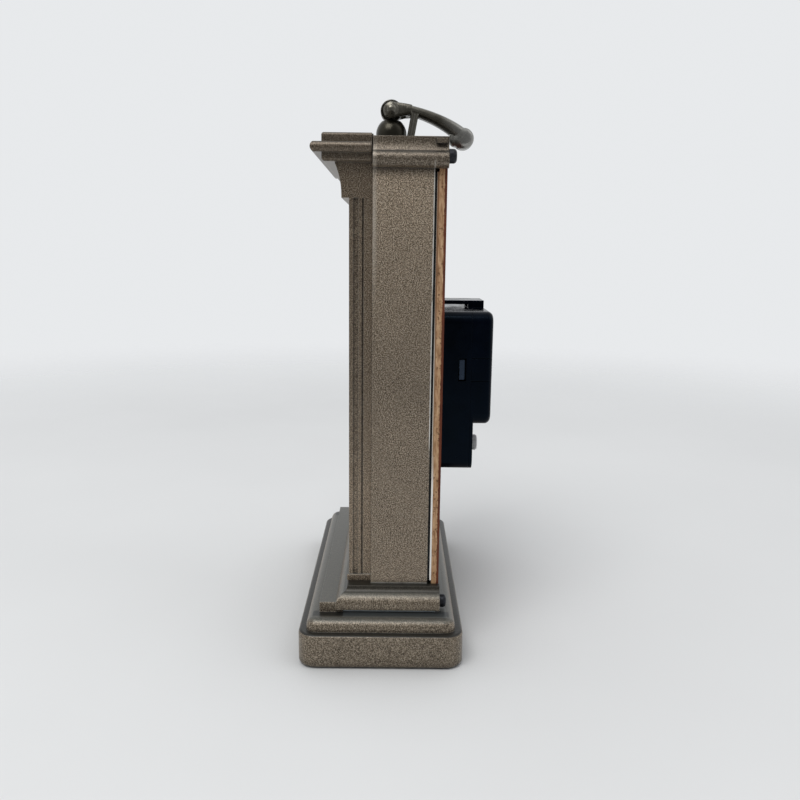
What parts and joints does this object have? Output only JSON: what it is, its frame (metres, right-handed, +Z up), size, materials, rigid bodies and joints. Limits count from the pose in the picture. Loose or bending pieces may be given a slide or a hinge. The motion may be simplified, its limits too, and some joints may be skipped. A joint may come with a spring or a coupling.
{
  "type": "mantel clock",
  "caption": "Carriage-style quartz mantel clock: stepped cast plinth, bronze-painted case with cornice, glazed dial, rear movement and a hinged strap handle.",
  "frame": {"origin": "middle of the base's underside, on the felt", "axes": "+X across the clock to the right as seen from its front, +Y from the dial to the back, +Z up"},
  "size_m": [0.1172, 0.0654, 0.1892],
  "materials": {
    "felt": "felt",
    "bronze_paint": "speckled hammered bronze paint",
    "black_steel": "black oxide",
    "glass": "clear",
    "fibre_board": "raw fibre board edge, dark sealed back",
    "dial_print": "printed card",
    "pewter": "satin gunmetal",
    "bright_steel": "bright",
    "rubber": "matt",
    "black_plastic": "glossy black",
    "brass": "plain",
    "cell_jacket": "plain sleeve",
    "white_plastic": "moulded",
    "board_green": "circuit board",
    "copper_wire": "enamelled copper wire",
    "grey_plastic": "moulded",
    "dark_magnet": "sintered",
    "hand_black": "satin black"
  },
  "bodies": {
    "case": {"base_felt": "felt", "plinth": "bronze_paint", "plinth_screws": "black_steel", "foot_moulding": "bronze_paint", "case_shell": "bronze_paint", "front_fascia": "bronze_paint", "fascia_screws": "black_steel", "dial_glass": "glass", "back_panel": "fibre_board", "dial_card": "dial_print", "back_panel_screws": "black_steel", "handle_post": "pewter", "post_nut": "bright_steel", "gasket": "rubber", "movement_case": "black_plastic", "movement_cover": "black_plastic", "centre_bush": "brass", "centre_washer": "brass", "centre_nut": "brass", "battery_cell": "cell_jacket", "battery_contact_negative": "bright_steel", "battery_contact_positive": "bright_steel", "train_bridge": "white_plastic", "circuit_board": "board_green", "stator": "bright_steel", "drive_coil": "copper_wire"},
    "handle": {"handle_bail": "pewter", "handle_rivet": "pewter"},
    "minute": {"minute_tube": "brass", "minute_hand": "hand_black"},
    "hour": {"hour_wheel": "white_plastic", "hour_hand": "hand_black"},
    "minute_reduction": {"minute_wheel": "white_plastic"},
    "setting": {"setting_stem": "white_plastic", "setting_knob": "grey_plastic"},
    "second": {"second_wheel": "bright_steel", "second_hand": "hand_black"},
    "third": {"third_wheel": "white_plastic"},
    "centre": {"centre_wheel": "white_plastic"},
    "intermediate": {"intermediate_wheel": "white_plastic"},
    "rotor": {"rotor": "dark_magnet"}
  },
  "joints": [
    {"name": "handle_swing", "type": "hinge", "parent": "case", "child": "handle", "pos_m": [0, 0.0015, 0.1853], "axis": [1, 0, 0], "range_deg": [0, 185]},
    {"name": "minute_turn", "type": "hinge", "parent": "case", "child": "minute", "pos_m": [0, 0, 0.0879], "axis": [0, 1, 0], "continuous": true},
    {"name": "hour_turn", "type": "hinge", "parent": "case", "child": "hour", "pos_m": [0, 0, 0.0879], "axis": [0, 1, 0], "continuous": true},
    {"name": "minute_wheel_turn", "type": "hinge", "parent": "case", "child": "minute_reduction", "pos_m": [0.00498, 0, 0.07698], "axis": [0, 1, 0], "continuous": true},
    {"name": "setting_turn", "type": "hinge", "parent": "case", "child": "setting", "pos_m": [0.01006, 0, 0.06583], "axis": [0, 1, 0], "continuous": true},
    {"name": "second_turn", "type": "hinge", "parent": "case", "child": "second", "pos_m": [0, 0, 0.0879], "axis": [0, 1, 0], "continuous": true},
    {"name": "third_turn", "type": "hinge", "parent": "case", "child": "third", "pos_m": [-0.00998, 0, 0.08427], "axis": [0, 1, 0], "continuous": true},
    {"name": "centre_turn", "type": "hinge", "parent": "case", "child": "centre", "pos_m": [0, 0, 0.0879], "axis": [0, 1, 0], "continuous": true},
    {"name": "intermediate_turn", "type": "hinge", "parent": "case", "child": "intermediate", "pos_m": [0.00727, 0, 0.0837], "axis": [0, 1, 0], "continuous": true},
    {"name": "rotor_turn", "type": "hinge", "parent": "case", "child": "rotor", "pos_m": [0.01165, 0, 0.07612], "axis": [0, 1, 0], "continuous": true}
  ],
  "couplings": [
    {"joint": "minute_wheel_turn", "follows": "minute_turn", "ratio": -0.33333},
    {"joint": "hour_turn", "follows": "minute_turn", "ratio": 0.083333},
    {"joint": "setting_turn", "follows": "minute_turn", "ratio": 0.92308},
    {"joint": "third_turn", "follows": "second_turn", "ratio": -0.13333},
    {"joint": "centre_turn", "follows": "second_turn", "ratio": 0.016667},
    {"joint": "intermediate_turn", "follows": "second_turn", "ratio": -5},
    {"joint": "rotor_turn", "follows": "second_turn", "ratio": 30}
  ]
}
